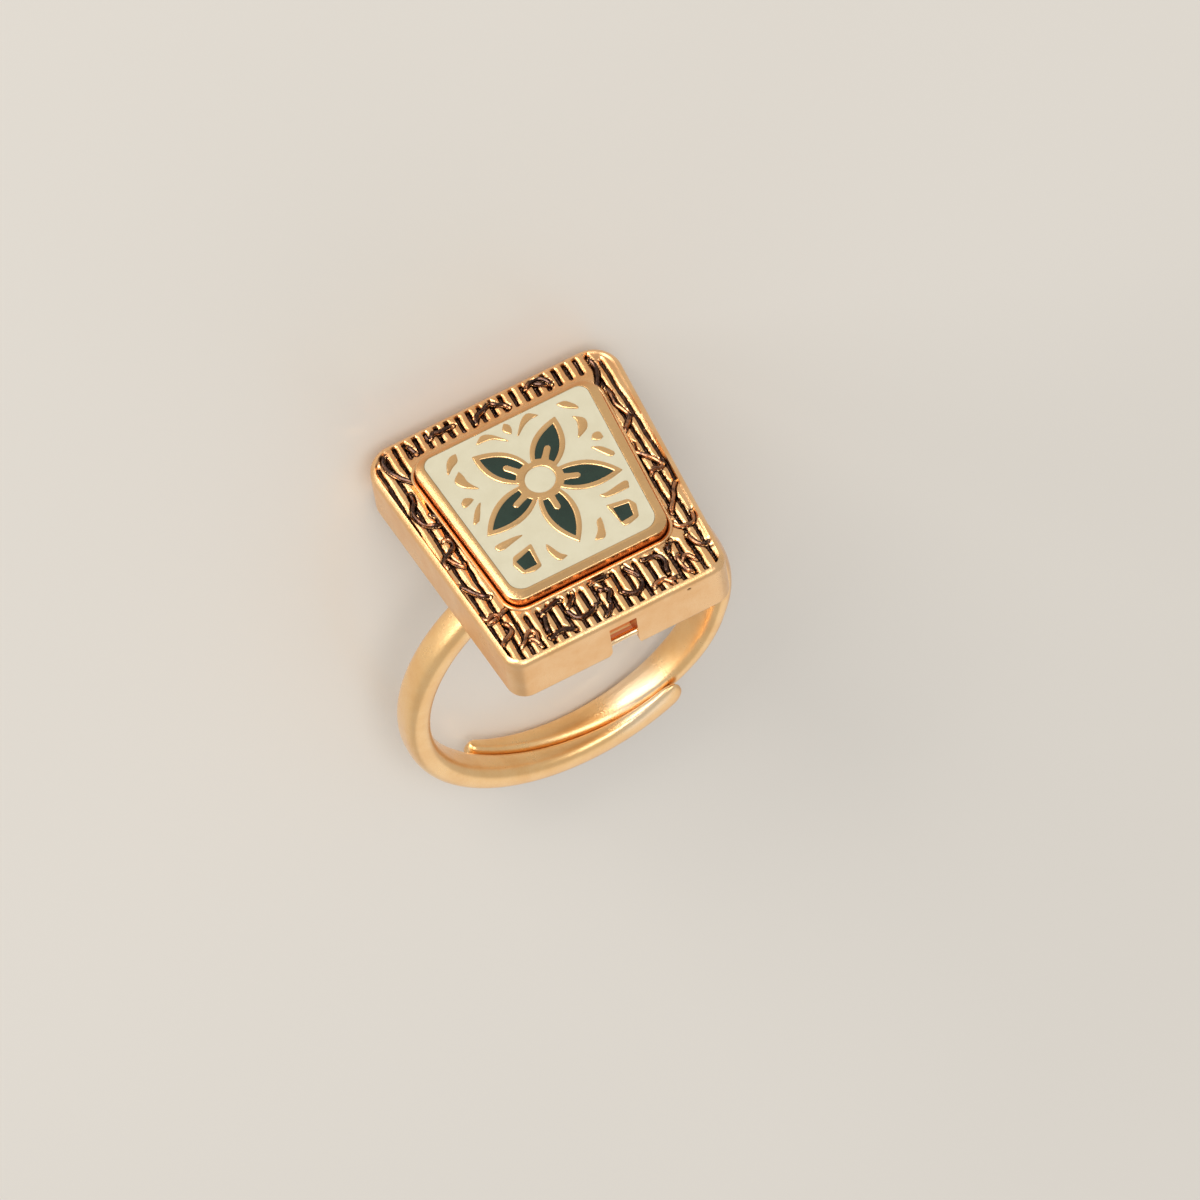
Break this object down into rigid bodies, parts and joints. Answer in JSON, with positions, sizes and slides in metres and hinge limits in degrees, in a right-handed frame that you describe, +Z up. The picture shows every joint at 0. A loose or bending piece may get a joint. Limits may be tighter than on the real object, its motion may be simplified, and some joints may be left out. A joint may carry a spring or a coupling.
{
  "type": "adjustable ring",
  "caption": "Finger ring with a square bezel that carries an enamelled flower tile, and an open band whose two arms pass each other side by side so that its size can be changed.",
  "frame": {"origin": "middle of the ring's box at the surface that it lies on", "axes": "+Z up from that surface, the bezel's top faces -Y and leans back, +Y towards the far side of the band, X across the bezel"},
  "size_m": [0.02, 0.0256, 0.0161],
  "materials": {
    "bezel_gold": "satin gold plating on cast relief, dark patina in the grooves",
    "band_gold": "satin gold plating, brushed and a little worn",
    "tile_gold": "satin gold plating, bright rim",
    "cream_enamel": "smooth cream enamel, half gloss",
    "green_enamel": "smooth dark green enamel, glossy"
  },
  "bodies": {
    "root": {"bezel": "bezel_gold", "band": "band_gold", "cross_pin": "band_gold", "tile": "tile_gold", "enamel_field": "cream_enamel", "enamel_disc": "cream_enamel", "enamel_petal_1": "green_enamel", "enamel_petal_2": "green_enamel", "enamel_petal_3": "green_enamel", "enamel_petal_4": "green_enamel", "enamel_petal_5": "green_enamel", "enamel_block_left": "green_enamel", "enamel_block_right": "green_enamel"}
  },
  "joints": []
}
